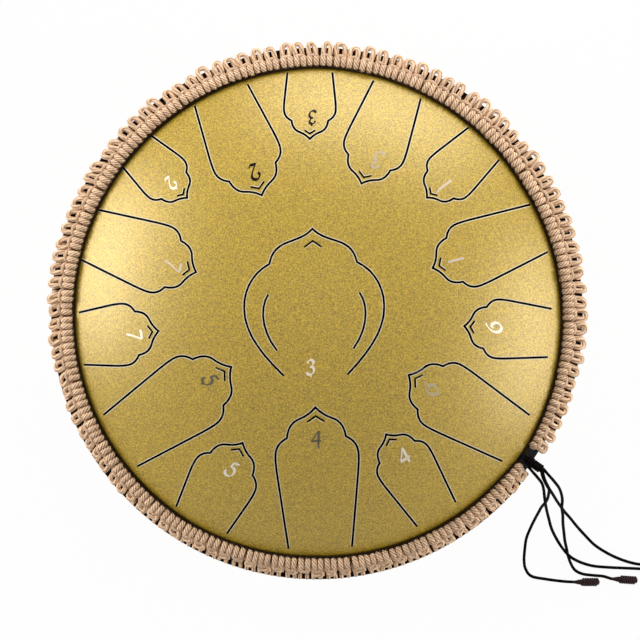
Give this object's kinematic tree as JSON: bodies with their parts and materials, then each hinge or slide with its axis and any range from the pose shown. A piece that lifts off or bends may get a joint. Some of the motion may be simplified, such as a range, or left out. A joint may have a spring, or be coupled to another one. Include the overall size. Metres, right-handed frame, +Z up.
{
  "type": "steel tongue drum",
  "caption": "Round two-shell steel drum with petal-shaped tongues cut in its domed top, a knotted cord band round the rim, a sound hole below and rubber feet.",
  "frame": {"origin": "on the surface the drum stands on, below the middle of the drum without its cord tails", "axes": "+Z up through the top of the dome; +X to the right and +Y to the top as the picture shows the drum from above, so the cord's gathering knot lies towards +X and -Y"},
  "size_m": [0.4536, 0.3673, 0.162],
  "materials": {
    "gold_shell": "satin sprayed gold",
    "gold_tongue": "satin sprayed gold",
    "black_rubber": "satin",
    "hemp": "twisted hemp cord, matte",
    "dark_cord": "dark brown waxed cord",
    "zinc": "zinc plated"
  },
  "bodies": {
    "drum": {"top_shell": "gold_shell", "bottom_shell": "gold_shell", "rim_trim": "black_rubber", "rope_band": "hemp", "rope_knots": "hemp", "rope_loops": "hemp", "upper_drawstring": "dark_cord", "lower_drawstring": "dark_cord", "gathering_knot": "dark_cord", "tail_1": "dark_cord", "tail_2": "dark_cord", "tail_3": "dark_cord", "tail_4": "dark_cord", "end_knot_1": "dark_cord", "end_knot_2": "dark_cord", "end_knot_3": "dark_cord", "end_knot_4": "dark_cord", "foot_1": "black_rubber", "foot_2": "black_rubber", "foot_3": "black_rubber", "foot_screws": "zinc", "foot_washers": "zinc", "foot_nuts": "zinc"},
    "tongue_low_3": {"tongue_low_3": "gold_tongue"},
    "tongue_low_4": {"tongue_low_4": "gold_tongue"},
    "tongue_mid_4": {"tongue_mid_4": "gold_tongue"},
    "tongue_low_6": {"tongue_low_6": "gold_tongue"},
    "tongue_mid_6": {"tongue_mid_6": "gold_tongue"},
    "tongue_mid_1": {"tongue_mid_1": "gold_tongue"},
    "tongue_high_1": {"tongue_high_1": "gold_tongue"},
    "tongue_mid_3": {"tongue_mid_3": "gold_tongue"},
    "tongue_high_3": {"tongue_high_3": "gold_tongue"},
    "tongue_mid_2": {"tongue_mid_2": "gold_tongue"},
    "tongue_high_2": {"tongue_high_2": "gold_tongue"},
    "tongue_low_7": {"tongue_low_7": "gold_tongue"},
    "tongue_mid_7": {"tongue_mid_7": "gold_tongue"},
    "tongue_low_5": {"tongue_low_5": "gold_tongue"},
    "tongue_mid_5": {"tongue_mid_5": "gold_tongue"}
  },
  "joints": [
    {"name": "flex_low_4", "type": "hinge", "parent": "drum", "child": "tongue_low_4", "pos_m": [0.00218, -0.15622, 0.10496], "axis": [0.9994, 0.0349, 0], "range_deg": [-0.25, 0.25], "stiffness_Nm_per_rad": 181.8},
    {"name": "flex_mid_4", "type": "hinge", "parent": "drum", "child": "tongue_mid_4", "pos_m": [0.0796, -0.13405, 0.10524], "axis": [0.8471, 0.5314, 0], "range_deg": [-0.25, 0.25], "stiffness_Nm_per_rad": 193.1},
    {"name": "flex_low_6", "type": "hinge", "parent": "drum", "child": "tongue_low_6", "pos_m": [0.13264, -0.0832, 0.10468], "axis": [0.5075, 0.8616, 0], "range_deg": [-0.25, 0.25], "stiffness_Nm_per_rad": 172.6},
    {"name": "flex_mid_6", "type": "hinge", "parent": "drum", "child": "tongue_mid_6", "pos_m": [0.15519, -0.01303, 0.10537], "axis": [0.0785, 0.9969, 0], "range_deg": [-0.25, 0.25], "stiffness_Nm_per_rad": 226.9},
    {"name": "flex_mid_1", "type": "hinge", "parent": "drum", "child": "tongue_mid_1", "pos_m": [0.14822, 0.05689, 0.10286], "axis": [-0.3518, 0.9361, 0], "range_deg": [-0.25, 0.25], "stiffness_Nm_per_rad": 178},
    {"name": "flex_high_1", "type": "hinge", "parent": "drum", "child": "tongue_high_1", "pos_m": [0.11139, 0.11336, 0.10271], "axis": [-0.6884, 0.7254, 0], "range_deg": [-0.25, 0.25], "stiffness_Nm_per_rad": 226.8},
    {"name": "flex_mid_3", "type": "hinge", "parent": "drum", "child": "tongue_mid_3", "pos_m": [0.05352, 0.14947, 0.10286], "axis": [-0.9348, 0.3551, 0], "range_deg": [-0.25, 0.25], "stiffness_Nm_per_rad": 201},
    {"name": "flex_high_3", "type": "hinge", "parent": "drum", "child": "tongue_high_3", "pos_m": [-0.00477, 0.16087, 0.10099], "axis": [-1, 0, 0], "range_deg": [-0.25, 0.25], "stiffness_Nm_per_rad": 270.7},
    {"name": "flex_mid_2", "type": "hinge", "parent": "drum", "child": "tongue_mid_2", "pos_m": [-0.06402, 0.14583, 0.10243], "axis": [-0.9265, -0.3762, 0], "range_deg": [-0.25, 0.25], "stiffness_Nm_per_rad": 210.6},
    {"name": "flex_high_2", "type": "hinge", "parent": "drum", "child": "tongue_high_2", "pos_m": [-0.12023, 0.10825, 0.10026], "axis": [-0.6807, -0.7325, 0], "range_deg": [-0.25, 0.25], "stiffness_Nm_per_rad": 248.2},
    {"name": "flex_low_7", "type": "hinge", "parent": "drum", "child": "tongue_low_7", "pos_m": [-0.15256, 0.05283, 0.10055], "axis": [-0.3322, -0.9432, 0], "range_deg": [-0.25, 0.25], "stiffness_Nm_per_rad": 184.2},
    {"name": "flex_mid_7", "type": "hinge", "parent": "drum", "child": "tongue_mid_7", "pos_m": [-0.15719, -0.0168, 0.10342], "axis": [0.0958, -0.9954, 0], "range_deg": [-0.25, 0.25], "stiffness_Nm_per_rad": 271},
    {"name": "flex_low_5", "type": "hinge", "parent": "drum", "child": "tongue_low_5", "pos_m": [-0.13118, -0.08487, 0.10496], "axis": [0.5534, -0.8329, 0], "range_deg": [-0.25, 0.25], "stiffness_Nm_per_rad": 185.3},
    {"name": "flex_mid_5", "type": "hinge", "parent": "drum", "child": "tongue_mid_5", "pos_m": [-0.07704, -0.13785, 0.10356], "axis": [0.8821, -0.471, 0], "range_deg": [-0.25, 0.25], "stiffness_Nm_per_rad": 263.6},
    {"name": "flex_low_3", "type": "hinge", "parent": "drum", "child": "tongue_low_3", "pos_m": [-0.00085, -0.04048, 0.15764], "axis": [0.9997, 0.0227, 0], "range_deg": [-0.25, 0.25], "stiffness_Nm_per_rad": 178.1}
  ]
}
